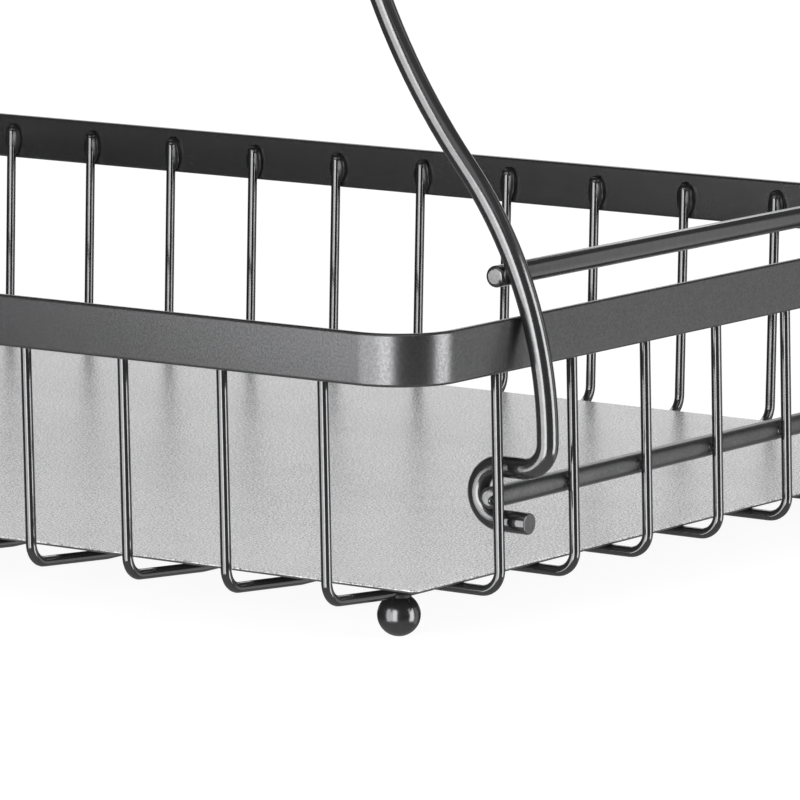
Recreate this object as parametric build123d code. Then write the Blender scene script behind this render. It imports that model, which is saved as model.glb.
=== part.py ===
from build123d import *
from math import acos, atan2, cos, degrees, hypot, radians, sin, sqrt, tan
import os

# Two-tier wire basket, in millimetres.
# Origin: centre of the base, on the surface the feet stand on.
# +X runs along the long sides, +Y away from the viewer, +Z up.
# The left and right ends are the short sides. Each end has a bent-wire frame
# that hooks onto a rod of the lower basket and carries the upper basket.

# Stock: flat strip for the rims, thin wire for the grid, thick rod for the rest
strip_height = 12.0
strip_thickness = 2.0
strip_edge_radius = 0.8
wire_diameter = 2.5
rod_diameter = 5.0

# Baskets, measured over the outside of the rims
lower_length = 366.0
upper_length = 253.2
basket_width = 281.0
basket_height = 74.5
rim_corner_radius = 16.0
tier_rise = 195.0

# Grid wires: cross wires span the width, long wires span the length
lower_cross_count = 12
upper_cross_count = 8
long_count = 8
cross_end_inset = 27.9
long_upright_gap = 1.75
wire_bend_radius = 5.0
wire_top_drop = 3.5
cross_leg_lean = 1.7
long_leg_lean = 1.4
cross_run_rise = 2.1
run_flatten_lead = 2.5
run_ease_radius = 20.0

# Tray sheet that lies on the long wires
tray_thickness = 0.8
tray_end_inset = 12.0
tray_side_inset = 17.0
tray_corner_radius = 2.0

# Ball feet, grooved onto the outermost cross wires
foot_diameter = 10.0
foot_flat_depth = 0.15
foot_sink = 1.4
foot_wire_lead = 3.0
foot_weld_gap = 0.03

# Side rods inside the short sides
side_rod_drop = 41.4
side_rod_end_inset = 1.3

# Side frames
frame_side_inset = 41.0
frame_rim_gap = 0.3
hook_gap = 0.3
hook_bend_radius = 6.25
hook_nest_angle = 45.0
hook_stub_reach = 8.5
lower_sweep_radius = 93.9
upper_sweep_radius = 158.1
handle_top_rise = 260.5
handle_corner_radius = 22.0
stretcher_rise = 8.75

# Seat pegs that carry the upper basket
seat_gap = 0.3
peg_overhang = 3.5

# Derived sizes and levels
wire_radius = wire_diameter / 2
rod_radius = rod_diameter / 2
foot_radius = foot_diameter / 2
foot_centre_z = foot_radius - foot_flat_depth
cross_run_z = foot_centre_z + foot_radius - foot_sink + wire_radius
long_run_z = cross_run_z + wire_diameter
tray_bottom_z = long_run_z + wire_radius
half_width = basket_width / 2
wire_inset = strip_thickness + wire_radius
leg_top_z = basket_height - wire_top_drop
rim_bottom_z = basket_height - strip_height
side_rod_z = basket_height - side_rod_drop
frame_half_span = half_width - frame_side_inset
outer_long_wire_y = frame_half_span + rod_radius + long_upright_gap + wire_radius
lower_rim_face_x = lower_length / 2
upper_rim_face_x = upper_length / 2


def row_places(count, outermost):
    """Places of a centred row of equal steps between its two outermost places."""
    return [outermost * (2 * i / (count - 1) - 1) for i in range(count)]


def long_leg_x(rim_face_x, z):
    """X of a long wire's leg at a height: it touches the rim's lower edge and leans outward below it."""
    return rim_face_x - wire_inset + tan(radians(long_leg_lean)) * (rim_bottom_z - z)


def side_rod_x(rim_face_x):
    """X of the side rod, which lies against the inner side of the long wires' legs."""
    contact = (wire_radius + rod_radius) / cos(radians(long_leg_lean))
    return long_leg_x(rim_face_x, side_rod_z) - contact


def round_bar(path, radius):
    """Round bar swept along a path."""
    section = Plane(origin=path @ 0, z_dir=path % 0) * Circle(radius)
    return sweep(section, path=path)


def rim_band(length):
    """Flat strip bent into a rounded rectangle, with eased edges."""
    outer = RectangleRounded(length, basket_width, rim_corner_radius)
    inner = RectangleRounded(
        length - 2 * strip_thickness,
        basket_width - 2 * strip_thickness,
        rim_corner_radius - strip_thickness,
    )
    band = extrude(Pos(0, 0, rim_bottom_z) * (outer - inner), amount=strip_height)
    rims = band.edges().group_by(Axis.Z)
    return fillet(rims[0] + rims[-1], strip_edge_radius)


def cross_wire_path():
    """U-shaped wire across the width: two legs and a floor run that dips to its flat middle."""
    leg_y = half_width - wire_inset
    elbow_z = cross_run_z + cross_run_rise
    elbow_y = leg_y - tan(radians(cross_leg_lean)) * (leg_top_z - elbow_z)
    flat_y = outer_long_wire_y + run_flatten_lead
    side = [(leg_y, leg_top_z), (elbow_y, elbow_z), (flat_y, cross_run_z)]
    far = [(-y, z) for y, z in reversed(side)]
    radii = [wire_bend_radius, run_ease_radius, run_ease_radius, wire_bend_radius]
    return Plane.YZ * FilletPolyline(*side, *far, radius=radii)


def long_wire_path(rim_face_x):
    """U-shaped wire along the length: two legs and a straight floor run."""
    top_x = long_leg_x(rim_face_x, leg_top_z)
    elbow_x = long_leg_x(rim_face_x, long_run_z)
    points = [(top_x, leg_top_z), (elbow_x, long_run_z), (-elbow_x, long_run_z), (-top_x, leg_top_z)]
    return Plane.XZ * FilletPolyline(*points, radius=wire_bend_radius)


def cross_wires(rim_face_x, count):
    """All the wires across one basket, as separate pieces."""
    wire = round_bar(cross_wire_path(), wire_radius)
    return [Pos(x, 0, 0) * wire for x in row_places(count, rim_face_x - cross_end_inset)]


def long_wires(rim_face_x):
    """All the wires along one basket, as separate pieces."""
    wire = round_bar(long_wire_path(rim_face_x), wire_radius)
    return [Pos(0, y, 0) * wire for y in row_places(long_count, outer_long_wire_y)]


def tray_sheet(length):
    """Flat sheet that lies on the long wires."""
    outline = RectangleRounded(
        length - 2 * tray_end_inset, basket_width - 2 * tray_side_inset, tray_corner_radius
    )
    return extrude(Pos(0, 0, tray_bottom_z) * outline, amount=tray_thickness)


def ball_foot(y_side):
    """Ball with a flat to stand on and a groove for the cross wire above it."""
    place = Pos(0, y_side * (outer_long_wire_y + foot_wire_lead), foot_centre_z)
    ball = place * Sphere(foot_radius)
    floor_block = Box(foot_diameter, basket_width, foot_diameter, align=(Align.CENTER, Align.CENTER, Align.MAX))
    groove = round_bar(cross_wire_path(), wire_radius + foot_weld_gap)
    return ball - floor_block - groove


def feet(rim_face_x, x_side):
    """The two feet at one end of a basket, under its outermost cross wire."""
    outer_x = x_side * (rim_face_x - cross_end_inset)
    return [Pos(outer_x, 0, 0) * ball_foot(y_side) for y_side in (-1, 1)]


def side_rod(rim_face_x, x_side):
    """Straight rod along one short side, inside the long wires' legs."""
    length = 2 * (outer_long_wire_y - side_rod_end_inset)
    rod = Rot(X=90) * Cylinder(rod_radius, length)
    return Pos(x_side * side_rod_x(rim_face_x), 0, side_rod_z) * rod


# The right frame is worked out in its own side view, x outward and z up.
# Its hook nests on the rod of the lower basket, which is also its pivot.
pivot_x = side_rod_x(lower_rim_face_x)
pivot_z = side_rod_z
hook_inner_radius = hook_bend_radius - rod_radius
nest_offset = hook_inner_radius - rod_radius - hook_gap
curl_x = pivot_x + nest_offset * cos(radians(hook_nest_angle))
curl_z = pivot_z + nest_offset * sin(radians(hook_nest_angle))
hook_run_z = curl_z + hook_bend_radius
sweep_start_z = hook_run_z + hook_bend_radius

# The lower sweep passes the rim's top outer edge with the named gap
edge_rise = basket_height - strip_edge_radius - sweep_start_z
edge_reach = lower_sweep_radius - rod_radius - frame_rim_gap - strip_edge_radius
sweep_centre_x = lower_rim_face_x - strip_edge_radius - sqrt(edge_reach**2 - edge_rise**2)
upright_foot_x = sweep_centre_x + lower_sweep_radius
upright_top_x = upper_rim_face_x + frame_rim_gap + rod_radius
both_radii = lower_sweep_radius + upper_sweep_radius
sweep_angle = degrees(acos(1 - (upright_foot_x - upright_top_x) / both_radii))

handle_z = basket_height + handle_top_rise - rod_radius

# The upper basket's rod rests on pegs that lie square to the line from the pivot,
# so that the frame swings out from under it
upper_rod_x = side_rod_x(upper_rim_face_x)
upper_rod_z = side_rod_z + tier_rise
peg_tilt = degrees(atan2(pivot_x - upper_rod_x, upper_rod_z - pivot_z))
peg_radius_from_pivot = hypot(pivot_x - upper_rod_x, upper_rod_z - pivot_z) - rod_diameter - seat_gap


def upright_path():
    """One upright from its hook's end to the start of the top corner, in the side view."""
    stub = Line((pivot_x + hook_stub_reach, curl_z - hook_bend_radius), (curl_x, curl_z - hook_bend_radius))
    curl = JernArc(stub @ 1, (-1, 0), hook_bend_radius, -180)
    run = Line(curl @ 1, (upright_foot_x - hook_bend_radius, hook_run_z))
    elbow = JernArc(run @ 1, (1, 0), hook_bend_radius, 90)
    lower_sweep = JernArc(elbow @ 1, elbow % 1, lower_sweep_radius, sweep_angle)
    upper_sweep = JernArc(lower_sweep @ 1, lower_sweep % 1, upper_sweep_radius, -sweep_angle)
    upright = Line(upper_sweep @ 1, (upright_top_x, handle_z - handle_corner_radius))
    return stub + curl + run + elbow + lower_sweep + upper_sweep + upright


def handle_path():
    """Top of the frame, corner to corner, in the end view."""
    corner_y = frame_half_span - handle_corner_radius
    corner_z = handle_z - handle_corner_radius
    near = JernArc((-frame_half_span, corner_z), (0, 1), handle_corner_radius, -90)
    bar = Line((-corner_y, handle_z), (corner_y, handle_z))
    far = JernArc((corner_y, handle_z), (1, 0), handle_corner_radius, -90)
    return near + bar + far


def frame_wire():
    """The whole bent wire of the right frame: hook, upright, handle, upright, hook."""
    near = Plane.XZ.offset(frame_half_span) * upright_path()
    top = Plane.YZ.offset(upright_top_x) * handle_path()
    far = Plane.XZ.offset(-frame_half_span) * upright_path()
    path = Wire(near.edges() + top.edges() + far.edges())
    return round_bar(path, rod_radius)


def stretcher_rod():
    """Rod across both uprights of the right frame, against their inner side above the rim."""
    reach = lower_sweep_radius - rod_diameter
    rise = basket_height + stretcher_rise - sweep_start_z
    x = sweep_centre_x + sqrt(reach**2 - rise**2)
    rod = Rot(X=90) * Cylinder(rod_radius, 2 * (frame_half_span + rod_radius))
    return Pos(x, 0, basket_height + stretcher_rise) * rod


def seat_peg(y_side):
    """Peg from an upright's inner side to just past the upper basket's rod, coped to the upright."""
    tilt = radians(peg_tilt)
    seat_x = pivot_x - peg_radius_from_pivot * sin(tilt)
    seat_z = pivot_z + peg_radius_from_pivot * cos(tilt)
    root_run = (upright_top_x - seat_x) / cos(tilt)
    centre_run = (root_run - peg_overhang) / 2
    bar = Rot(Y=90) * Cylinder(rod_radius, root_run + peg_overhang)
    peg = Pos(seat_x, 0, seat_z) * Rot(Y=-peg_tilt) * Pos(centre_run, 0, 0) * bar
    upright = Pos(upright_top_x, 0, seat_z) * Cylinder(rod_radius, 2 * root_run + rod_diameter)
    return Pos(0, y_side * frame_half_span, 0) * (peg - upright).solids().sort_by(Axis.X)[0]


def write_node(name, pieces):
    """Write one named piece, or a group of separate pieces, as one file."""
    solids = [solid for piece in pieces for solid in piece.solids()]
    node = Compound(children=solids) if len(solids) > 1 else solids[0]
    node.label = name
    export_step(node, f"parts/{name}.step")


def write_basket(tier, length, count, rise):
    """Write the pieces of one basket, lifted to its tier."""
    face_x = length / 2
    lift = Pos(0, 0, rise)
    nodes = {
        "rim_band": [rim_band(length)],
        "cross_wires": cross_wires(face_x, count),
        "long_wires": long_wires(face_x),
        "tray_plate": [tray_sheet(length)],
        "side_rod_left": [side_rod(face_x, -1)],
        "side_rod_right": [side_rod(face_x, 1)],
        "feet_left": feet(face_x, -1),
        "feet_right": feet(face_x, 1),
    }
    for name, pieces in nodes.items():
        write_node(f"{tier}_{name}", [lift * piece for piece in pieces])


def write_frames():
    """Write the right frame's pieces, and the left frame's as their mirror image."""
    nodes = {
        "frame_wire": [frame_wire()],
        "stretcher_rod": [stretcher_rod()],
        "seat_pegs": [seat_peg(-1), seat_peg(1)],
    }
    for name, pieces in nodes.items():
        write_node(f"right_{name}", pieces)
        write_node(f"left_{name}", [mirror(piece, about=Plane.YZ) for piece in pieces])


os.makedirs("parts", exist_ok=True)
write_basket("lower", lower_length, lower_cross_count, 0)
write_basket("upper", upper_length, upper_cross_count, tier_rise)
write_frames()
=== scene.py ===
"""Dresses the tiered wire basket: finer bars, rims, trays and welds, metal paints, studio and camera."""

from __future__ import annotations

import logging
import math
from abc import ABC, abstractmethod
from dataclasses import dataclass, field
from enum import Enum
from typing import Any, ClassVar, Iterable, Sequence

import bmesh
import bpy
from mathutils import Matrix, Vector, noise

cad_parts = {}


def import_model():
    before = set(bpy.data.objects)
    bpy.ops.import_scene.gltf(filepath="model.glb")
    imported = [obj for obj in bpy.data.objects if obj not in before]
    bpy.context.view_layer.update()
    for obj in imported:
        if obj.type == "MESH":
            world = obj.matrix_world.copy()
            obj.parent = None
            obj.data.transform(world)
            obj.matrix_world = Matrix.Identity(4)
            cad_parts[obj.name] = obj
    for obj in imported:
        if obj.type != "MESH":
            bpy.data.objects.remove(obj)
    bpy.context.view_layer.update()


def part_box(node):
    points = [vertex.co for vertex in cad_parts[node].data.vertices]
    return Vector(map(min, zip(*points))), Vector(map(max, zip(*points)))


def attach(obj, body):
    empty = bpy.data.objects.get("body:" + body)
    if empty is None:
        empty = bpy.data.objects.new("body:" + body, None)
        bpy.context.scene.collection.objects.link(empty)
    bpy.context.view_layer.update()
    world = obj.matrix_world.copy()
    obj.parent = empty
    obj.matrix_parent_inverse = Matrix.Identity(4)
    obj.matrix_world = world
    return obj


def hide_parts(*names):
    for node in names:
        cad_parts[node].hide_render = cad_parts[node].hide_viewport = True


LOG = logging.getLogger("basket")
MM = 0.001
X_AXIS = Vector((1, 0, 0))
Y_AXIS = Vector((0, 1, 0))
Z_AXIS = Vector((0, 0, 1))

# Distances within which points are one, a seam is closed and an edge is level.
SAME_POINT = MM / 1000
SEAM_GAP = MM / 100
LEVEL_GAP = MM / 10
# Angle between two faces above which their edge is sharp, in radians.
SHARP_TURN = 1

# Largest angles between two rings of a bend, in degrees.
BEND_STEP = 7.5
RIM_BEND_STEP = 4
HANDLE_BEND_STEP = 5
SWEEP_STEP = 1.5


class Tier(Enum):
    """The two baskets of the stand."""

    LOWER = "lower"
    UPPER = "upper"


class Side(Enum):
    """The two ends of the stand; the value is the sign of X there."""

    RIGHT = 1
    LEFT = -1

    @property
    def word(self) -> str:
        """Name of the side, as the frame's nodes have it."""
        return self.name.lower()


@dataclass(frozen=True)
class Stock:
    """Sizes of the strip, wire and rod that the stand is welded from, in metres."""

    strip_thickness: float = 2.0 * MM
    strip_edge_radius: float = 0.8 * MM
    strip_edge_steps: int = 5
    wire_radius: float = 1.25 * MM
    rod_radius: float = 2.5 * MM
    wire_sides: int = 20
    rod_sides: int = 32
    end_chamfer: float = 0.3 * MM
    end_chamfer_steps: int = 2
    rod_end_round: float = 0.9 * MM
    rod_end_steps: int = 4


STOCK = Stock()


# Bars and strips


def ease(
    mesh: bmesh.types.BMesh, corners: Sequence[Any], reach: float, segments: int, affect: str = "EDGES"
) -> None:
    """Rounds edges, or the corners of a flat outline.

    Args:
        mesh: The mesh that they belong to.
        corners: The edges or vertices.
        reach: How far the rounding reaches in from the corner.
        segments: Steps that it is made in.
        affect: "EDGES" or "VERTICES".
    """
    bmesh.ops.bevel(
        mesh,
        geom=corners,
        offset=reach,
        offset_type="OFFSET",
        segments=segments,
        profile=0.5,
        affect=affect,
        material=-1,
    )


class Bender:
    """Drives a closed section along straight runs and bends, as a wire-bending machine does."""

    def __init__(
        self, mesh: bmesh.types.BMesh, section: list[bmesh.types.BMEdge], place: Vector, heading: Vector
    ) -> None:
        """Starts at one end of the bar.

        Args:
            mesh: The mesh that the bar grows in.
            section: Edges of the section's outline, already at the start and square to the heading.
            place: Centre of the section.
            heading: Unit direction that the bar leaves in.
        """
        self.mesh = mesh
        self.start = list(section)
        self.end = list(section)
        self.place = place.copy()
        self.heading = heading.normalized()

    def run(self, length: float) -> Bender:
        """Adds a straight run.

        Args:
            length: Length of the run.

        Returns:
            The bender, so that calls can be chained.
        """
        grown = bmesh.ops.extrude_edge_only(self.mesh, edges=self.end)["geom"]
        ring = [g for g in grown if isinstance(g, bmesh.types.BMVert)]
        bmesh.ops.translate(self.mesh, verts=ring, vec=self.heading * length)
        loose = set(ring)
        self.end = [
            g for g in grown if isinstance(g, bmesh.types.BMEdge) and all(v in loose for v in g.verts)
        ]
        self.place += self.heading * length
        return self

    def bend(self, radius: float, degrees: float, axis: Vector, step: float = BEND_STEP) -> Bender:
        """Adds a bend.

        Args:
            radius: Radius of the bar's centre line.
            degrees: Turn about the axis, negative to turn the other way.
            axis: Unit normal of the plane that the bend lies in.
            step: Largest angle between two rings, in degrees.

        Returns:
            The bender, so that calls can be chained.
        """
        spun_axis = axis * math.copysign(1, degrees)
        angle = math.radians(abs(degrees))
        centre = self.place + spun_axis.cross(self.heading) * radius
        rings = max(2, math.ceil(abs(degrees) / step))
        geom = list({v for e in self.end for v in e.verts}) + self.end
        last = bmesh.ops.spin(
            self.mesh, geom=geom, cent=centre, axis=spun_axis, angle=angle, steps=rings, use_merge=False
        )["geom_last"]
        turn = Matrix.Rotation(angle, 3, spun_axis)
        self.end = [g for g in last if isinstance(g, bmesh.types.BMEdge)]
        self.place = centre + turn @ (self.place - centre)
        self.heading = turn @ self.heading
        return self

    def follow(self, corners: Sequence[Vector], radii: Sequence[float]) -> Bender:
        """Runs from corner to corner with a bend at each one but the last.

        Args:
            corners: Where the centre lines of the runs meet, then the bar's far end.
            radii: Bend radius at each corner but the last.

        Returns:
            The bender, so that calls can be chained.
        """
        for corner, following, radius in zip(corners, corners[1:], radii):
            leaving = (following - corner).normalized()
            turn = self.heading.angle(leaving)
            setback = radius * math.tan(turn / 2)
            self.run((corner - self.place).length - setback)
            self.bend(radius, math.degrees(turn), self.heading.cross(leaving).normalized())
        return self.run((corners[-1] - self.place).length)

    def cap(self, reach: float = STOCK.end_chamfer, segments: int = STOCK.end_chamfer_steps) -> None:
        """Closes both ends with flat faces whose rims are rounded.

        Args:
            reach: How far the rounding reaches in from the edge.
            segments: Steps that the rounding is made in.
        """
        for ring in (self.start, self.end):
            face = bmesh.ops.contextual_create(self.mesh, geom=ring)["faces"][0]
            ease(self.mesh, list(face.edges), reach, segments)


def round_section(
    mesh: bmesh.types.BMesh, radius: float, sides: int, place: Vector, heading: Vector
) -> list[bmesh.types.BMEdge]:
    """Draws a circle square to a heading.

    Args:
        mesh: The mesh that it is drawn in.
        radius: Radius of the circle.
        sides: Number of its edges.
        place: Its centre.
        heading: Unit direction that it faces.

    Returns:
        Its edges.
    """
    turn = Z_AXIS.rotation_difference(heading).to_matrix().to_4x4()
    made = bmesh.ops.create_circle(
        mesh, cap_ends=False, segments=sides, radius=radius, matrix=Matrix.Translation(place) @ turn
    )
    ring = set(made["verts"])
    return [e for v in ring for e in v.link_edges if v == e.verts[0]]


def strip_section(
    mesh: bmesh.types.BMesh, place: Vector, thickness: float, height: float
) -> list[bmesh.types.BMEdge]:
    """Draws the strip's section with eased corners in the plane square to X.

    Args:
        mesh: The mesh that it is drawn in.
        place: Its centre.
        thickness: Its size along Y.
        height: Its size along Z.

    Returns:
        Its edges.
    """
    turn = Matrix.Rotation(math.pi / 2, 4, "Y")
    made = bmesh.ops.create_grid(mesh, x_segments=1, y_segments=1, size=0.5, matrix=turn)
    corners = made["verts"]
    bmesh.ops.scale(mesh, verts=corners, vec=(1, thickness, height))
    bmesh.ops.translate(mesh, verts=corners, vec=place)
    ease(mesh, corners, STOCK.strip_edge_radius, STOCK.strip_edge_steps, "VERTICES")
    faces = [f for f in mesh.faces if all(abs(v.co.x - place.x) < SEAM_GAP for v in f.verts)]
    edges = [e for f in faces for e in f.edges]
    bmesh.ops.delete(mesh, geom=faces, context="FACES_ONLY")
    return edges


def straight_rod(start: Vector, length: float) -> bmesh.types.BMesh:
    """Cuts a straight rod along Y with rounded ends.

    Args:
        start: Centre of the rod's lower end in Y.
        length: Length of the rod.

    Returns:
        Its mesh.
    """
    mesh = bmesh.new()
    ring = round_section(mesh, STOCK.rod_radius, STOCK.rod_sides, start, Y_AXIS)
    Bender(mesh, ring, start, Y_AXIS).run(length).cap(STOCK.rod_end_round, STOCK.rod_end_steps)
    return mesh


def smooth_sides(mesh: bmesh.types.BMesh) -> None:
    """Shades every face smooth but the flat ends, which get the second finish.

    The ends are the only faces with more than four corners.

    Args:
        mesh: The mesh of one or more bars, balls or beads.
    """
    for face in mesh.faces:
        cut = len(face.verts) > 4
        face.smooth = not cut
        face.material_index = int(cut)


def add_copies(whole: bmesh.types.BMesh, part: bmesh.types.BMesh, shifts: Iterable[Vector]) -> None:
    """Adds a copy of a small mesh at each shift, then frees the small mesh.

    Args:
        whole: The mesh that the copies join.
        part: The small mesh.
        shifts: Where the copies go, from the small mesh's own place.
    """
    data = bpy.data.meshes.new("part")
    part.to_mesh(data)
    part.free()
    last = Vector()
    for shift in shifts:
        data.transform(Matrix.Translation(shift - last))
        whole.from_mesh(data)
        last = shift
    bpy.data.meshes.remove(data)


def as_object(mesh: bmesh.types.BMesh, name: str) -> bpy.types.Object:
    """Turns a finished mesh into a scene object at the origin.

    Args:
        mesh: The mesh, which is merged, turned outwards and freed.
        name: Name of the object.

    Returns:
        The object.
    """
    bmesh.ops.remove_doubles(mesh, verts=mesh.verts, dist=SAME_POINT)
    bmesh.ops.recalc_face_normals(mesh, faces=mesh.faces)
    data = bpy.data.meshes.new(name)
    mesh.to_mesh(data)
    mesh.free()
    piece = bpy.data.objects.new(name, data)
    bpy.context.scene.collection.objects.link(piece)
    return piece


@dataclass(frozen=True)
class Weld:
    """One weld bead: an uneven lump with half-sizes along X, Y and Z, in millimetres."""

    place: Vector
    half: tuple[float, float, float]
    unevenness: float = 0.16
    segments: ClassVar[int] = 14
    rings: ClassVar[int] = 9
    seed_spread: ClassVar[float] = 910
    lump_scale: ClassVar[float] = 1.3
    layer_fade: ClassVar[float] = 1.0
    layer_step: ClassVar[float] = 2.0
    layers: ClassVar[int] = 3

    def lay(self, mesh: bmesh.types.BMesh) -> None:
        """Adds the bead.

        Args:
            mesh: The mesh that the bead joins.
        """
        lump = bmesh.new()
        bmesh.ops.create_uvsphere(lump, u_segments=self.segments, v_segments=self.rings, radius=1)
        seed = self.place * self.seed_spread
        for vert in lump.verts:
            point = vert.co * self.lump_scale + seed
            swell = noise.fractal(point, self.layer_fade, self.layer_step, self.layers)
            vert.co *= 1 + self.unevenness * swell
        bmesh.ops.scale(lump, verts=lump.verts, vec=Vector(self.half) * MM)
        add_copies(mesh, lump, [self.place])


# Half-sizes of the beads. A long wire's have X and Y the other way round from a cross wire's.
CROSS_BEAD = (2.5, 1.7, 4.5)
CROSS_CAP = (1.55, 1.35, 1.1)
LONG_BEAD = (1.7, 2.5, 4.5)
LONG_CAP = (1.35, 1.55, 1.1)
ROD_BEAD = (0.75, 1.75, 1.15)
FOOT_COLLAR = (3.0, 3.0, 1.6)
STRETCHER_BEAD = (0.9, 2.0, 2.3)
PEG_COLLAR = (0.9, 2.75, 2.85)


def lay_welds(welds: Iterable[Weld]) -> bmesh.types.BMesh:
    """Lays several beads in one mesh.

    Args:
        welds: The beads.

    Returns:
        The mesh.
    """
    mesh = bmesh.new()
    for weld in welds:
        weld.lay(mesh)
    smooth_sides(mesh)
    return mesh


# Finishes


class Value:
    """Wraps a shader socket so that maths on it reads as an expression."""

    def __init__(self, graph: Graph, socket: bpy.types.NodeSocket) -> None:
        """Keeps the socket and the graph that its maths nodes go in.

        Args:
            graph: The graph that the socket belongs to.
            socket: An output of one of its nodes.
        """
        self.graph = graph
        self.socket = socket

    def _math(self, operation: str, first: Any, second: Any) -> Value:
        """Adds one Math node on two values."""
        return self.graph.node("ShaderNodeMath", {"operation": operation}, {0: first, 1: second})

    def __add__(self, other: Any) -> Value:
        """Sum."""
        return self._math("ADD", self, other)

    __radd__ = __add__

    def __sub__(self, other: Any) -> Value:
        """Difference."""
        return self._math("SUBTRACT", self, other)

    def __rsub__(self, other: Any) -> Value:
        """Difference from a plain number."""
        return self._math("SUBTRACT", other, self)

    def __mul__(self, other: Any) -> Value:
        """Product."""
        return self._math("MULTIPLY", self, other)

    __rmul__ = __mul__


class Graph:
    """A node tree, built from calls."""

    def __init__(self, owner: bpy.types.Material | bpy.types.World) -> None:
        """Clears the owner's node tree and works in it.

        Args:
            owner: A material or a world.
        """
        self.owner = owner
        owner.use_nodes = True
        self.tree = owner.node_tree
        self.tree.nodes.clear()

    def node(self, kind: str, settings: dict[str, Any], inputs: dict[Any, Any], output: Any = 0) -> Value:
        """Adds a node.

        Args:
            kind: The node's type name.
            settings: Its own settings, set first; a ramp's stops go under "stops".
            inputs: Values or links of its sockets, by name or number.
            output: Name or number of the output that is wanted.

        Returns:
            The wanted output.
        """
        made = self.tree.nodes.new(kind)
        for key, value in settings.items():
            if key == "stops":
                ramp = made.color_ramp.elements
                while len(ramp) < len(value):
                    ramp.new(1.0)
                for element, (position, color) in zip(ramp, value):
                    element.position = position
                    element.color = color
            else:
                setattr(made, key, value)
        for key, value in inputs.items():
            if isinstance(value, Value):
                self.tree.links.new(value.socket, made.inputs[key])
            else:
                made.inputs[key].default_value = value
        return Value(self, made.outputs[output])

    def place(self) -> Value:
        """Position on the piece, in the frame's own metres."""
        return self.node("ShaderNodeTexCoord", {}, {}, "Object")

    def noise(self, scale: float, detail: float, roughness: float = 0.55) -> Value:
        """Adds fractal noise on the position.

        Args:
            scale: Noise cells per metre.
            detail: Number of finer layers on the first.
            roughness: Share of each finer layer.

        Returns:
            The noise, between 0 and 1.
        """
        return self.node(
            "ShaderNodeTexNoise",
            {},
            {"Vector": self.place(), "Scale": scale, "Detail": detail, "Roughness": roughness},
            "Fac",
        )

    def finish(self, shader: Value) -> Any:
        """Links the shader to the output.

        Args:
            shader: The whole shader.

        Returns:
            The owner of the graph, a material or a world.
        """
        kind = "World" if isinstance(self.owner, bpy.types.World) else "Material"
        output = self.tree.nodes.new(f"ShaderNodeOutput{kind}")
        self.tree.links.new(shader.socket, output.inputs["Surface"])
        return self.owner


@dataclass(frozen=True)
class Paint:
    """Sprayed metal paint: a body colour broken up by a fine grain and by broader clouds."""

    name: str
    slot: str
    color: tuple[float, float, float]
    speckle: float
    roughness: float
    roughness_spread: float
    metallic: float
    grain_scale: float
    grain_height: float
    cloud_share: float = 0.3
    grain_layers: ClassVar[float] = 4.0
    grain_layer_share: ClassVar[float] = 0.6
    cloud_coarseness: ClassVar[float] = 18
    cloud_layers: ClassVar[float] = 2.0
    darkest_at: ClassVar[float] = 0.36
    lightest_at: ClassVar[float] = 0.64

    def material(self) -> bpy.types.Material:
        """Builds the paint's node material.

        Returns:
            The material.
        """
        graph = Graph(bpy.data.materials.new(self.name))
        grain = graph.noise(self.grain_scale, self.grain_layers, self.grain_layer_share)
        cloud = graph.noise(self.grain_scale / self.cloud_coarseness, self.cloud_layers)
        mix = grain * (1 - self.cloud_share) + cloud * self.cloud_share
        dark = [c * (1 - self.speckle) for c in self.color] + [1]
        light = [c * (1 + self.speckle) for c in self.color] + [1]
        stops = [(self.darkest_at, dark), (self.lightest_at, light)]
        color = graph.node("ShaderNodeValToRGB", {"stops": stops}, {"Fac": mix})
        roughness = self.roughness + (cloud - 0.5) * self.roughness_spread
        relief = {"Strength": 1.0, "Distance": self.grain_height, "Height": grain}
        bump = graph.node("ShaderNodeBump", {}, relief, "Normal")
        shader = graph.node(
            "ShaderNodeBsdfPrincipled",
            {},
            {"Base Color": color, "Metallic": self.metallic, "Roughness": roughness, "Normal": bump},
        )
        return graph.finish(shader)


RIM_PAINT = Paint(
    "rim_satin", "rim_paint", (0.090, 0.090, 0.092), speckle=0.2, roughness=0.27, roughness_spread=0.02,
    metallic=0.85, grain_scale=1900, grain_height=0.008 * MM, cloud_share=0.06,
)
WIRE_PAINT = Paint(
    "wire_gloss", "wire_paint", (0.095, 0.095, 0.097), speckle=0.08, roughness=0.10, roughness_spread=0.04,
    metallic=0.9, grain_scale=700, grain_height=0.001 * MM,
)
ROD_PAINT = Paint(
    "rod_gloss", "rod_paint", (0.105, 0.105, 0.107), speckle=0.08, roughness=0.17, roughness_spread=0.04,
    metallic=0.9, grain_scale=700, grain_height=0.001 * MM,
)
SIDE_ROD_PAINT = Paint(
    "side_rod_satin", "rod_paint", (0.10, 0.10, 0.102), speckle=0.25, roughness=0.33, roughness_spread=0.04,
    metallic=0.85, grain_scale=1900, grain_height=0.02 * MM,
)
FOOT_PAINT = Paint(
    "foot_gloss", "foot_paint", (0.092, 0.092, 0.094), speckle=0.08, roughness=0.19, roughness_spread=0.04,
    metallic=0.9, grain_scale=700, grain_height=0.0012 * MM,
)
# Painted shade: the collars' near-black, rough paint stands in for the dark shade over the top of each ball
# foot, where no highlight shows.
FOOT_WELD_SHADE_PAINT = Paint(
    "foot_weld_satin", "foot_paint", (0.03, 0.03, 0.03), speckle=0.12, roughness=0.5, roughness_spread=0.08,
    metallic=0.6, grain_scale=1400, grain_height=0.004 * MM,
)
CUT_PAINT = Paint(
    "cut_end_paint", "rod_paint", (0.075, 0.075, 0.076), speckle=0.2, roughness=0.38, roughness_spread=0.10,
    metallic=0.7, grain_scale=1600, grain_height=0.02 * MM,
)
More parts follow.
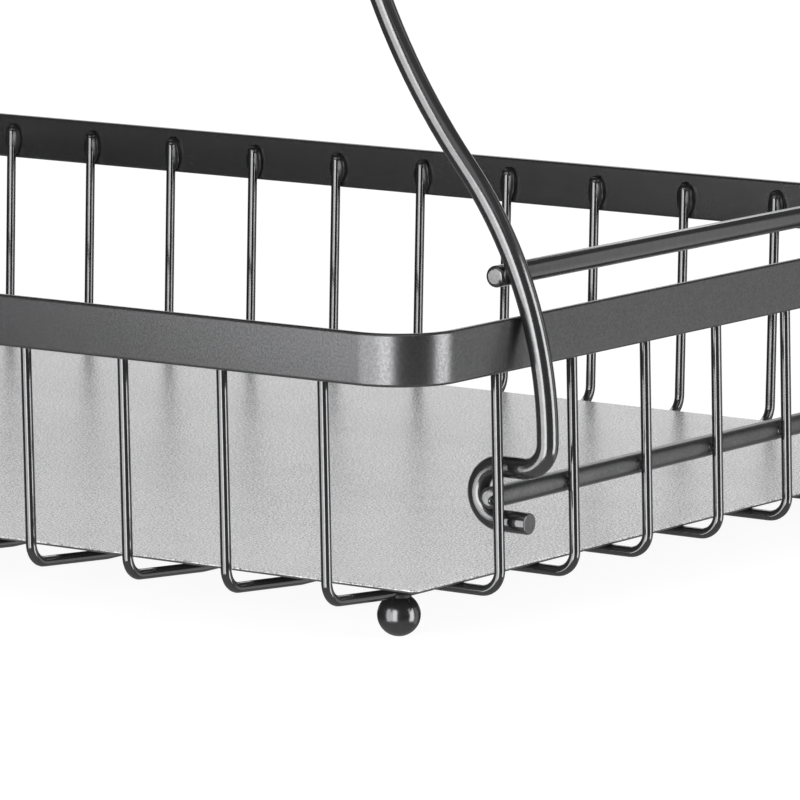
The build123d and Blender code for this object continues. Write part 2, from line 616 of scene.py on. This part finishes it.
# Painted highlight: the rounded ends of the straight rods are painted much lighter than the rods, standing
# in for the bright reflection that they catch.
ROD_END_HIGHLIGHT_PAINT = Paint(
    "rod_end_paint", "rod_paint", (0.24, 0.24, 0.243), speckle=0.2, roughness=0.33, roughness_spread=0.10,
    metallic=0.8, grain_scale=1600, grain_height=0.02 * MM,
)
TRAY_PAINT = Paint(
    "tray_sand", "tray_paint", (0.58, 0.58, 0.58), speckle=0.7, roughness=0.24, roughness_spread=0.04,
    metallic=0.5, grain_scale=1900, grain_height=0.05 * MM, cloud_share=0.04,
)
# Painted shade: the near-black paint on the tray's edges and underside stands in for the dark line that the
# edge shows where it faces the dim room.
TRAY_EDGE_SHADE_PAINT = Paint(
    "tray_edge_paint", "tray_paint", (0.05, 0.05, 0.05), speckle=0.30, roughness=0.5, roughness_spread=0.06,
    metallic=0.4, grain_scale=1700, grain_height=0.02 * MM,
)
# Painted shade: the beads are painted darker than the rim, standing in for the shade in the hollow where
# each weld meets wire and strip.
WELD_SHADE_PAINT = Paint(
    "weld_gloss", "wire_paint", (0.055, 0.055, 0.056), speckle=0.12, roughness=0.33, roughness_spread=0.08,
    metallic=0.9, grain_scale=1400, grain_height=0.004 * MM,
)


class Finishes:
    """Makes each finish once and hands it out."""

    def __init__(self) -> None:
        """Starts with no finish made."""
        self.made: dict[str, bpy.types.Material] = {}

    def get(self, paint: Paint) -> bpy.types.Material:
        """Hands out a paint's material, made at its first use.

        Args:
            paint: The paint.

        Returns:
            Its material.
        """
        if paint.name not in self.made:
            self.made[paint.name] = paint.material()
        return self.made[paint.name]


@dataclass(frozen=True)
class Dressed:
    """A finished piece: its paint, the last part of its node's name, if any, and its cut faces' paint."""

    piece: bpy.types.Object
    sides: Paint
    word: str = ""
    ends: Paint | None = None


# Sub-assemblies


# Wires that span the width of each basket.
CROSS_WIRES = {Tier.LOWER: 12, Tier.UPPER: 8}


def even_spread(outer: float, count: int) -> list[float]:
    """Spreads places evenly from minus an outermost one to plus it.

    Args:
        outer: The outermost place.
        count: Number of places.

    Returns:
        The places in rising order.
    """
    return [outer * (2 * i / (count - 1) - 1) for i in range(count)]


class Assembly(ABC):
    """Pieces that ride on one body and share the first word of their names."""

    @property
    @abstractmethod
    def prefix(self) -> str:
        """First word of the names of the nodes and pieces."""

    @property
    @abstractmethod
    def body(self) -> str:
        """Body that the pieces ride on."""

    @abstractmethod
    def parts(self) -> list[Dressed]:
        """Builds every piece.

        Returns:
            The pieces with their paints.
        """

    def node(self, word: str) -> str:
        """Full name of one of the nodes or pieces."""
        return f"{self.prefix}_{word}"

    def build(self, finishes: Finishes) -> list[bpy.types.Object]:
        """Builds and paints every piece, and seats it on its body and in the place of its node.

        Args:
            finishes: Where the paints come from.

        Returns:
            The finished pieces.
        """
        parts = self.parts()
        for part in parts:
            for paint in filter(None, (part.sides, part.ends)):
                part.piece.data.materials.append(finishes.get(paint))
            if part.word:
                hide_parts(self.node(part.word))
            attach(part.piece, self.body)
        return [part.piece for part in parts]


@dataclass
class Basket(Assembly):
    """One basket: rim, grid wires, tray, side rods and feet. Lengths are in metres and leans in degrees."""

    tier: Tier
    cross_count: int
    long_count: int = 8
    cross_lean: float = 1.7
    long_lean: float = 1.4
    bend_radius: float = 5.0 * MM
    cross_rise: float = 2.1 * MM
    flatten_lead: float = 2.5 * MM
    ease_radius: float = 20.0 * MM
    top_drop: float = 3.5 * MM
    corner_radius: float = 16.0 * MM
    tray_corner: float = 2.0 * MM
    tray_corner_steps: int = 6
    tray_ease: float = 0.3 * MM
    tray_ease_steps: int = 3
    tray_edge_slope: float = 0.1
    foot_flat: float = 0.15 * MM
    foot_segments: int = 48
    foot_rings: int = 32
    bead_drop: float = 0.9 * MM
    bead_reach: float = 0.6 * MM
    cap_drop: float = 0.4 * MM
    rod_bead_sink: float = 0.15 * MM
    collar_rise: float = 9.4 * MM
    collar_unevenness: float = 0.06
    low: Vector = field(init=False)
    high: Vector = field(init=False)

    def __post_init__(self) -> None:
        """Reads the rim's box from the frame."""
        self.low, self.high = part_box(self.node("rim_band"))

    @property
    def prefix(self) -> str:
        """First word of the names of the basket's nodes and pieces."""
        return self.tier.value

    @property
    def body(self) -> str:
        """Body that the basket's pieces ride on."""
        return f"{self.tier.value}_basket"

    def rim(self) -> bpy.types.Object:
        """Bends the flat strip round the basket's rim.

        Returns:
            The finished piece.
        """
        mesh = bmesh.new()
        height = self.high.z - self.low.z
        centre_radius = self.corner_radius - STOCK.strip_thickness / 2
        place = Vector((0, STOCK.strip_thickness / 2 - self.high.y, (self.low.z + self.high.z) / 2))
        section = strip_section(mesh, place, STOCK.strip_thickness, height)
        strip = Bender(mesh, section, place, X_AXIS)
        half_length = self.high.x - self.corner_radius
        width = 2 * (self.high.y - self.corner_radius)
        for length in (half_length, width, 2 * half_length, width):
            strip.run(length).bend(centre_radius, 90, Z_AXIS, RIM_BEND_STEP)
        strip.run(half_length)
        bmesh.ops.remove_doubles(mesh, verts=mesh.verts, dist=SEAM_GAP)
        for face in mesh.faces:
            face.smooth = True
        return as_object(mesh, self.node("rim_strip"))

    def leg_top(self) -> float:
        """Height of the wires' cut ends on the rim's inner face."""
        return self.high.z - self.top_drop

    def cross_path(self) -> list[Vector]:
        """Finds the corners of a cross wire in the plane x = 0.

        Returns:
            The corners, from its front end to its rear end.
        """
        box_low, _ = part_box(self.node("cross_wires"))
        leg_y = self.high.y - STOCK.strip_thickness - STOCK.wire_radius
        flat_z = box_low.z + STOCK.wire_radius
        elbow_z = flat_z + self.cross_rise
        elbow_y = leg_y - math.tan(math.radians(self.cross_lean)) * (self.leg_top() - elbow_z)
        flat_y = self.outer_long_y() + self.flatten_lead
        half = [(-leg_y, self.leg_top()), (-elbow_y, elbow_z), (-flat_y, flat_z)]
        return [Vector((0, y, z)) for y, z in half + [(-y, z) for y, z in reversed(half)]]

    def outer_long_y(self) -> float:
        """Y of the outermost long wires."""
        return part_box(self.node("long_wires"))[1].y - STOCK.wire_radius

    def outer_cross_x(self) -> float:
        """X of the outermost cross wires."""
        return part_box(self.node("cross_wires"))[1].x - STOCK.wire_radius

    def long_leg_x(self, z: float) -> float:
        """Finds where a long wire's leg is at a height.

        Args:
            z: The height.

        Returns:
            X of the leg's centre line there, on the right end.
        """
        face = self.high.x - STOCK.strip_thickness - STOCK.wire_radius
        return face + math.tan(math.radians(self.long_lean)) * (self.low.z - z)

    def long_path(self) -> list[Vector]:
        """Finds the corners of a long wire in the plane y = 0.

        Returns:
            The corners, from its left end to its right end.
        """
        flat_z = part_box(self.node("long_wires"))[0].z + STOCK.wire_radius
        top = (self.long_leg_x(self.leg_top()), self.leg_top())
        elbow = (self.long_leg_x(flat_z), flat_z)
        right = [Vector((x, 0, z)) for x, z in (elbow, top)]
        return [Vector((-v.x, 0, v.z)) for v in reversed(right)] + right

    def wires(
        self, name: str, path: list[Vector], radii: Sequence[float], shifts: Iterable[Vector]
    ) -> bpy.types.Object:
        """Bends one wire along a path and repeats it in one piece.

        Args:
            name: Last part of the piece's name.
            path: Corners of the wire's centre line.
            radii: Bend radius at each corner between the two ends.
            shifts: Where the copies go, from the path.

        Returns:
            The finished piece.
        """
        wire = bmesh.new()
        heading = (path[1] - path[0]).normalized()
        ring = round_section(wire, STOCK.wire_radius, STOCK.wire_sides, path[0], heading)
        Bender(wire, ring, path[0], heading).follow(path[1:], radii).cap()
        smooth_sides(wire)
        mesh = bmesh.new()
        add_copies(mesh, wire, shifts)
        return as_object(mesh, self.node(name))

    def cross_places(self) -> list[float]:
        """X of each wire that spans the width."""
        return even_spread(self.outer_cross_x(), self.cross_count)

    def long_places(self) -> list[float]:
        """Y of each wire that spans the length."""
        return even_spread(self.outer_long_y(), self.long_count)

    def cross_wires(self) -> bpy.types.Object:
        """Bends the wires that span the width."""
        radii = (self.bend_radius, self.ease_radius, self.ease_radius, self.bend_radius)
        return self.wires("cross_bars", self.cross_path(), radii, [X_AXIS * x for x in self.cross_places()])

    def long_wires(self) -> bpy.types.Object:
        """Bends the wires that span the length."""
        radii = (self.bend_radius, self.bend_radius)
        return self.wires("long_bars", self.long_path(), radii, [Y_AXIS * y for y in self.long_places()])

    def tray(self) -> bpy.types.Object:
        """Cuts the flat tray sheet, with small round corners and eased edges, and gives its edges and
        underside a dark painted shade.

        Returns:
            The finished piece.
        """
        low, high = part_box(self.node("tray_plate"))
        mesh = bmesh.new()
        bmesh.ops.create_cube(mesh, size=1)
        bmesh.ops.scale(mesh, verts=mesh.verts, vec=high - low)
        bmesh.ops.translate(mesh, verts=mesh.verts, vec=(high + low) / 2)
        uprights = [e for e in mesh.edges if abs(e.verts[0].co.z - e.verts[1].co.z) > LEVEL_GAP]
        ease(mesh, uprights, self.tray_corner, self.tray_corner_steps)
        rims = [e for e in mesh.edges if e.calc_face_angle(0) > SHARP_TURN]
        ease(mesh, rims, self.tray_ease, self.tray_ease_steps)
        # Faces that tilt less than tray_edge_slope upwards (the edges, lower bevels and underside) take the
        # second finish, a dark painted shade.
        for face in mesh.faces:
            face.material_index = int(face.normal.z < self.tray_edge_slope)
        return as_object(mesh, self.node("tray_sheet"))

    def rod(self, side: Side) -> bpy.types.Object:
        """Cuts one side rod.

        Args:
            side: The rod's end of the basket.

        Returns:
            The finished piece.
        """
        low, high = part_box(self.node(f"side_rod_{side.word}"))
        mesh = straight_rod(Vector(((low.x + high.x) / 2, low.y, (low.z + high.z) / 2)), high.y - low.y)
        smooth_sides(mesh)
        return as_object(mesh, self.node(f"rod_{side.word}"))

    def ball_feet(self, side: Side) -> bpy.types.Object:
        """Turns the two ball feet at one end, each with its small flat.

        Args:
            side: The feet's end of the basket.

        Returns:
            The finished piece.
        """
        low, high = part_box(self.node(f"feet_{side.word}"))
        radius = (high.x - low.x) / 2
        mesh = bmesh.new()
        for y in (low.y + radius, high.y - radius):
            place = Vector((low.x + radius, y, low.z + radius - self.foot_flat))
            ball = bmesh.ops.create_uvsphere(
                mesh,
                u_segments=self.foot_segments,
                v_segments=self.foot_rings,
                radius=radius,
                matrix=Matrix.Translation(place),
            )["verts"]
            skin = {e for v in ball for e in v.link_edges} | {f for v in ball for f in v.link_faces}
            cut = bmesh.ops.bisect_plane(
                mesh, geom=ball + list(skin), plane_co=(0, 0, low.z), plane_no=-Z_AXIS, clear_outer=True
            )["geom_cut"]
            bmesh.ops.contextual_create(mesh, geom=[e for e in cut if isinstance(e, bmesh.types.BMEdge)])
        smooth_sides(mesh)
        return as_object(mesh, self.node(f"balls_{side.word}"))

    def rim_welds(self) -> bpy.types.Object:
        """Lays the weld that fixes each wire's top to the rim: a long bead, and a cap over the wire's end.

        Returns:
            The beads and caps.
        """
        bead_z = (self.low.z + self.high.z) / 2 - self.bead_drop
        cap_z = self.leg_top() - self.cap_drop
        inner_x = self.high.x - STOCK.strip_thickness
        inner_y = self.high.y - STOCK.strip_thickness
        welds = []
        for sign in (-1, 1):
            for x in self.cross_places():
                bead = Vector((x, sign * (inner_y - self.bead_reach), bead_z))
                cap = Vector((x, sign * (inner_y - STOCK.wire_radius), cap_z))
                welds += [Weld(bead, CROSS_BEAD), Weld(cap, CROSS_CAP)]
            for y in self.long_places():
                bead = Vector((sign * (inner_x - self.bead_reach), y, bead_z))
                cap = Vector((sign * (inner_x - STOCK.wire_radius), y, cap_z))
                welds += [Weld(bead, LONG_BEAD), Weld(cap, LONG_CAP)]
        return as_object(lay_welds(welds), self.node("rim_welds"))

    def rod_welds(self, side: Side) -> bpy.types.Object:
        """Lays the small welds where a side rod touches the wires' legs.

        Args:
            side: The rod's end of the basket.

        Returns:
            The beads.
        """
        low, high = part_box(self.node(f"side_rod_{side.word}"))
        x = abs(low.x + high.x) / 2 + STOCK.rod_radius - self.rod_bead_sink
        z = (low.z + high.z) / 2
        welds = [Weld(Vector((side.value * x, y, z)), ROD_BEAD) for y in self.long_places()]
        return as_object(lay_welds(welds), self.node(f"rod_welds_{side.word}"))

    def foot_welds(self, side: Side) -> bpy.types.Object:
        """Lays the collars that fix the ball feet under the wire.

        Args:
            side: The feet's end of the basket.

        Returns:
            The collars.
        """
        low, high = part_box(self.node(f"feet_{side.word}"))
        radius = (high.x - low.x) / 2
        z = low.z + self.collar_rise
        welds = [
            Weld(Vector((low.x + radius, y, z)), FOOT_COLLAR, self.collar_unevenness)
            for y in (low.y + radius, high.y - radius)
        ]
        return as_object(lay_welds(welds), self.node(f"foot_collars_{side.word}"))

    def parts(self) -> list[Dressed]:
        """Builds every piece of the basket.

        Returns:
            The pieces with their paints.
        """
        made = [
            Dressed(self.rim(), RIM_PAINT, "rim_band"),
            Dressed(self.cross_wires(), WIRE_PAINT, "cross_wires", CUT_PAINT),
            Dressed(self.long_wires(), WIRE_PAINT, "long_wires", CUT_PAINT),
            # The tray's second finish is the dark painted shade on its edges and underside.
            Dressed(self.tray(), TRAY_PAINT, "tray_plate", TRAY_EDGE_SHADE_PAINT),
            # The beads' darker paint is painted shade.
            Dressed(self.rim_welds(), WELD_SHADE_PAINT),
        ]
        for side in Side:
            made += [
                Dressed(self.rod(side), SIDE_ROD_PAINT, f"side_rod_{side.word}", ROD_END_HIGHLIGHT_PAINT),
                Dressed(self.ball_feet(side), FOOT_PAINT, f"feet_{side.word}"),
                Dressed(self.rod_welds(side), WIRE_PAINT),
                # The collars' near-black paint is painted shade.
                Dressed(self.foot_welds(side), FOOT_WELD_SHADE_PAINT),
            ]
        return made


@dataclass
class SideFrame(Assembly):
    """One end frame: the bent wire with its hooks, the stretcher rod and the two seat pegs.

    Lengths are in metres and the nest angle, from the rod to the middle of the hook's curl, in degrees.
    """

    side: Side
    bend_radius: float = 6.25 * MM
    lower_sweep: float = 93.9 * MM
    upper_sweep: float = 158.1 * MM
    handle_corner: float = 22.0 * MM
    hook_gap: float = 0.3 * MM
    nest_angle: float = 45.0
    stub_reach: float = 8.5 * MM
    seat_gap: float = 0.3 * MM
    peg_overhang: float = 3.5 * MM
    stretcher_bead_x: float = 2.35 * MM
    stretcher_bead_z: float = 0.55 * MM
    peg_collar_gap: float = 0.2 * MM
    peg_collar_unevenness: float = 0.08

    @property
    def prefix(self) -> str:
        """First word of the names of the frame's nodes and pieces."""
        return self.side.word

    @property
    def body(self) -> str:
        """Body that the frame's pieces ride on."""
        return f"{self.side.word}_frame"

    def pivot(self) -> Vector:
        """Finds the line that the frame swings on.

        Returns:
            Centre of the lower basket's rod, seen as on the right end.
        """
        low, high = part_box(f"lower_side_rod_{self.side.word}")
        centre = (low + high) / 2
        return Vector((abs(centre.x), 0, centre.z))

    def mirrored(self, mesh: bmesh.types.BMesh, name: str) -> bpy.types.Object:
        """Finishes a mesh modelled for the right end, turned over for the left end.

        Args:
            mesh: The mesh.
            name: Name of the piece.

        Returns:
            The finished piece.
        """
        if self.side is Side.LEFT:
            bmesh.ops.scale(mesh, verts=mesh.verts, vec=(-1, 1, 1))
        smooth_sides(mesh)
        return as_object(mesh, name)

    def wire(self) -> bpy.types.Object:
        """Bends the frame's wire from the front hook over the handle to the rear hook.

        Returns:
            The finished piece.
        """
        low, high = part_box(self.node("frame_wire"))
        rod = STOCK.rod_radius
        half_span = high.y - rod
        top_x = min(abs(low.x), abs(high.x)) + rod
        foot_x = max(abs(low.x), abs(high.x)) - rod
        handle_z = high.z - rod
        pivot = self.pivot()
        nest = self.bend_radius - 2 * rod - self.hook_gap
        nest_turn = math.radians(self.nest_angle)
        curl = pivot + nest * Vector((math.cos(nest_turn), 0, math.sin(nest_turn)))
        sweep = math.degrees(math.acos(1 - (foot_x - top_x) / (self.lower_sweep + self.upper_sweep)))
        hook_run = foot_x - self.bend_radius - curl.x
        stub_run = pivot.x + self.stub_reach - curl.x
        start = Vector((pivot.x + self.stub_reach, -half_span, curl.z - self.bend_radius))
        mesh = bmesh.new()
        ring = round_section(mesh, rod, STOCK.rod_sides, start, -X_AXIS)
        bar = Bender(mesh, ring, start, -X_AXIS)
        bar.run(stub_run).bend(self.bend_radius, -180, -Y_AXIS).run(hook_run)
        bar.bend(self.bend_radius, 90, -Y_AXIS)
        bar.bend(self.lower_sweep, sweep, -Y_AXIS, SWEEP_STEP)
        bar.bend(self.upper_sweep, -sweep, -Y_AXIS, SWEEP_STEP)
        upright_run = handle_z - self.handle_corner - bar.place.z
        handle_run = 2 * (half_span - self.handle_corner)
        bar.run(upright_run).bend(self.handle_corner, 90, -X_AXIS, HANDLE_BEND_STEP)
        bar.run(handle_run).bend(self.handle_corner, 90, -X_AXIS, HANDLE_BEND_STEP)
        bar.run(upright_run).bend(self.upper_sweep, sweep, -Y_AXIS, SWEEP_STEP)
        bar.bend(self.lower_sweep, -sweep, -Y_AXIS, SWEEP_STEP)
        bar.bend(self.bend_radius, -90, -Y_AXIS).run(hook_run)
        bar.bend(self.bend_radius, 180, -Y_AXIS).run(stub_run).cap()
        return self.mirrored(mesh, self.node("bent_wire"))

    def stretcher(self) -> bpy.types.Object:
        """Cuts the rod across the uprights.

        Returns:
            The finished piece.
        """
        low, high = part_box(self.node("stretcher_rod"))
        start = Vector((abs(low.x + high.x) / 2, low.y, (low.z + high.z) / 2))
        return self.mirrored(straight_rod(start, high.y - low.y), self.node("stretcher"))

    def peg_line(self) -> tuple[Vector, Vector, Vector]:
        """Finds the line that a seat peg lies on, seen as on the right end.

        Returns:
            Where the peg meets its upright's centre line, where the basket's rod bears on it, and its
            unit direction from the rod to the upright.
        """
        rod = STOCK.rod_radius
        pivot = self.pivot()
        seat_low, seat_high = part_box(f"upper_side_rod_{self.side.word}")
        bearing = (seat_low + seat_high) / 2
        arm = Vector((abs(bearing.x), 0, bearing.z)) - pivot
        out = Vector((arm.z, 0, -arm.x)).normalized()
        wire_low, wire_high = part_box(self.node("frame_wire"))
        upright_x = min(abs(wire_low.x), abs(wire_high.x)) + rod
        on_peg = pivot + arm.normalized() * (arm.length - 2 * rod - self.seat_gap)
        return on_peg + out * ((upright_x - on_peg.x) / out.x), on_peg, out

    def welds(self) -> bpy.types.Object:
        """Lays the welds that fix the stretcher and the pegs to the uprights.

        Returns:
            The beads.
        """
        low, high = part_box(self.node("stretcher_rod"))
        wire_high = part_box(self.node("frame_wire"))[1]
        half_span = wire_high.y - STOCK.rod_radius
        centre = Vector((abs(low.x + high.x) / 2, 0, (low.z + high.z) / 2))
        bead = centre + Vector((self.stretcher_bead_x, 0, self.stretcher_bead_z))
        root, _, out = self.peg_line()
        collar = root - out * (STOCK.rod_radius + self.peg_collar_gap)
        welds = []
        for y in (-half_span, half_span):
            along = Y_AXIS * y
            welds.append(Weld(bead + along, STRETCHER_BEAD))
            welds.append(Weld(collar + along, PEG_COLLAR, self.peg_collar_unevenness))
        return self.mirrored(lay_welds(welds), self.node("frame_welds"))

    def pegs(self) -> bpy.types.Object:
        """Cuts the two seat pegs, each from inside its upright to past the upper basket's rod.

        Returns:
            The finished piece.
        """
        low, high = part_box(self.node("seat_pegs"))
        rod = STOCK.rod_radius
        root, on_peg, out = self.peg_line()
        mesh = bmesh.new()
        for y in (low.y + rod, high.y - rod):
            start = Vector((root.x, y, root.z))
            ring = round_section(mesh, rod, STOCK.rod_sides, start, -out)
            Bender(mesh, ring, start, -out).run((root - on_peg).length + self.peg_overhang).cap()
        return self.mirrored(mesh, self.node("pegs"))

    def parts(self) -> list[Dressed]:
        """Builds every piece of the frame.

        Returns:
            The pieces with their paints.
        """
        return [
            Dressed(self.wire(), ROD_PAINT, "frame_wire", CUT_PAINT),
            # The stretcher's lighter end paint is a painted highlight.
            Dressed(self.stretcher(), ROD_PAINT, "stretcher_rod", ROD_END_HIGHLIGHT_PAINT),
            Dressed(self.pegs(), ROD_PAINT, "seat_pegs", CUT_PAINT),
            Dressed(self.welds(), WELD_SHADE_PAINT),
        ]


# Studio


@dataclass(frozen=True)
class SoftBox:
    """One rectangular studio light that faces the object: bearing in degrees, sizes in metres."""

    name: str
    azimuth: float
    elevation: float
    distance: float
    width: float
    height: float
    glow: float

    def place(self, aim: Vector) -> None:
        """Puts the light up and turns it to the aim.

        Args:
            aim: The point that the light faces.
        """
        data = bpy.data.lights.new(self.name, "AREA")
        data.shape = "RECTANGLE"
        data.size = self.width
        data.size_y = self.height
        data.energy = self.glow * self.width * self.height
        light = bpy.data.objects.new(self.name, data)
        away = from_bearing(self.azimuth, self.elevation)
        light.location = aim + away * self.distance
        light.rotation_euler = away.to_track_quat("Z", "Y").to_euler()
        light.visible_camera = False
        bpy.context.scene.collection.objects.link(light)


def from_bearing(azimuth: float, elevation: float) -> Vector:
    """Unit vector towards a viewer at a bearing.

    Args:
        azimuth: Degrees round Z; 0 stands in front of the object and looks along +Y, 90 looks along -X.
        elevation: Degrees above the horizon.

    Returns:
        The vector, from the object to the viewer.
    """
    around = math.radians(azimuth)
    up = math.radians(elevation)
    return Vector((math.sin(around) * math.cos(up), -math.cos(around) * math.cos(up), math.sin(up)))


# The bearing of the camera's side, from which the soft boxes are laid out.
FRONT = 35.7
# Each row: name, azimuth, elevation, distance, width, height and glow in watts per square metre.
SOFT_BOXES = (
    SoftBox("left_box", FRONT - 22, 0, 1.0, 0.42, 1.15, 24),
    SoftBox("left_fill", FRONT - 53, 0, 1.1, 0.74, 1.25, 13.6),
    SoftBox("right_box", FRONT + 76, 0, 1.0, 0.48, 1.15, 22),
    SoftBox("right_fill", FRONT + 112, 0, 1.1, 0.50, 1.5, 2.5),
    SoftBox("back_low", FRONT + 180, 6, 1.6, 1.8, 0.8, 2.4),
    SoftBox("back_high", FRONT + 180, 32, 1.6, 0.9, 0.7, 7.6),
    SoftBox("top_box", 25, 64, 1.3, 1.3, 1.3, 2.1),
)
# Greys of the room that the metal reflects, each after its place from straight down (0) to straight up (1).
ROOM_GREYS = ((0.0, 0.4), (0.25, 0.3), (0.37, 0.07), (0.45, 0.03), (1.0, 0.2))
WHITE = (1, 1, 1, 1)


@dataclass(frozen=True)
class Studio:
    """Pale floor, soft boxes in a dim room, and the photograph's camera."""

    azimuth: float = 35.73
    elevation: float = 9.02
    distance: float = 1.5
    lens: float = 308.0
    sensor_width: float = 36
    clip_start: float = 0.05
    clip_end: float = 200
    aim: tuple[float, float, float] = (0.1818, -0.1447, 0.0613)
    floor_size: float = 60.0
    floor_grey: float = 0.15
    floor_roughness: float = 0.9
    floor_glow: float = 0.93

    def camera(self) -> None:
        """Sets up the camera where the photographer stood."""
        data = bpy.data.cameras.new("camera")
        data.lens = self.lens
        data.sensor_width = self.sensor_width
        data.clip_start = self.clip_start
        data.clip_end = self.clip_end
        camera = bpy.data.objects.new("camera", data)
        away = from_bearing(self.azimuth, self.elevation)
        camera.location = Vector(self.aim) + away * self.distance
        camera.rotation_euler = away.to_track_quat("Z", "Y").to_euler()
        bpy.context.scene.collection.objects.link(camera)
        bpy.context.scene.camera = camera

    def floor(self) -> None:
        """Lays the pale floor, which glows a little so that shadows on it stay soft."""
        mesh = bmesh.new()
        bmesh.ops.create_grid(mesh, x_segments=1, y_segments=1, size=self.floor_size / 2)
        floor = as_object(mesh, "floor")
        graph = Graph(bpy.data.materials.new("floor_finish"))
        shader = graph.node(
            "ShaderNodeBsdfPrincipled",
            {},
            {
                "Base Color": (self.floor_grey, self.floor_grey, self.floor_grey, 1),
                "Roughness": self.floor_roughness,
                "Specular IOR Level": 0.0,
                "Emission Color": WHITE,
                "Emission Strength": self.floor_glow,
            },
        )
        floor.data.materials.append(graph.finish(shader))
        floor.visible_glossy = False
        floor.visible_shadow = False

    def surroundings(self) -> None:
        """Makes the room: white to the camera, dim with a pale floor to the metal that reflects it."""
        graph = Graph(bpy.data.worlds.new("surroundings"))
        way = graph.node("ShaderNodeTexCoord", {}, {}, "Generated")
        height = graph.node("ShaderNodeSeparateXYZ", {}, {"Vector": way}, "Z")
        level = 0.5 + height * 0.5
        stops = [(place, (grey, grey, grey, 1)) for place, grey in ROOM_GREYS]
        room = graph.node("ShaderNodeValToRGB", {"stops": stops}, {"Fac": level})
        seen = graph.node("ShaderNodeLightPath", {}, {}, "Is Camera Ray")
        dim = graph.node("ShaderNodeBackground", {}, {"Color": room, "Strength": 1.0})
        white = graph.node("ShaderNodeBackground", {}, {"Color": WHITE, "Strength": 1.0})
        mixed = graph.node("ShaderNodeMixShader", {}, {0: seen, 1: dim, 2: white})
        bpy.context.scene.world = graph.finish(mixed)
        bpy.context.scene.view_settings.view_transform = "Standard"

    def build(self) -> None:
        """Sets up everything round the object."""
        self.camera()
        self.floor()
        self.surroundings()
        for box in SOFT_BOXES:
            box.place(Vector(self.aim))


def main() -> None:
    """Builds the stand in order and reports each piece."""
    logging.basicConfig(level=logging.INFO, format="%(name)s: %(message)s")
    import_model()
    finishes = Finishes()
    baskets = [Basket(tier, count) for tier, count in CROSS_WIRES.items()]
    for assembly in baskets + [SideFrame(side) for side in Side]:
        for piece in assembly.build(finishes):
            LOG.info("%s: %d faces", piece.name, len(piece.data.polygons))
    Studio().build()


if __name__ == "__main__":
    main()
